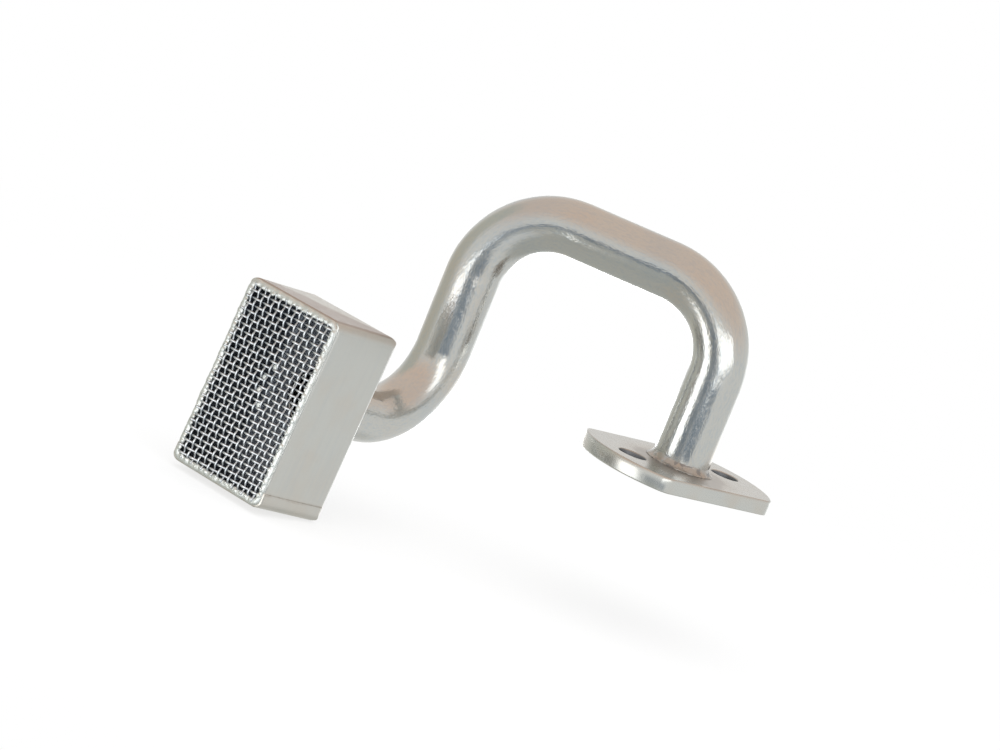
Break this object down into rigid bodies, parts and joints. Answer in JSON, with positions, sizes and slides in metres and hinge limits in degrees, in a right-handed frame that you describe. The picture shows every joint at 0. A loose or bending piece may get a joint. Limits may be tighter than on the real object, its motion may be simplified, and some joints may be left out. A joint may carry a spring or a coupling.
{
  "type": "oil pickup tube",
  "caption": "Bent plated steel tube that draws oil through a meshed sheet metal strainer box to a two-bolt flange plate with parallel flats.",
  "frame": {"origin": "centre of the flange's mating face, on the axis of the tube's flange leg", "axes": "+Z along the flange leg away from the mating face, X along the strainer's depth in plan with the mesh facing -X, Y across the strainer"},
  "size_m": [0.1539, 0.1239, 0.1207],
  "materials": {
    "tube_steel": "bright zinc plate, glossy, faintly mottled",
    "flange_steel": "bright zinc plate, satin",
    "housing_steel": "bright zinc plate, satin",
    "mesh_wire": "bright drawn wire",
    "braze": "dull, plated over, brownish",
    "solder": "rough bright solder"
  },
  "bodies": {
    "root": {"pickup_tube": "tube_steel", "mounting_flange": "flange_steel", "strainer_housing": "housing_steel", "strainer_mesh": "mesh_wire", "flange_braze": "braze", "housing_braze": "braze", "rim_solder": "solder"}
  },
  "joints": []
}
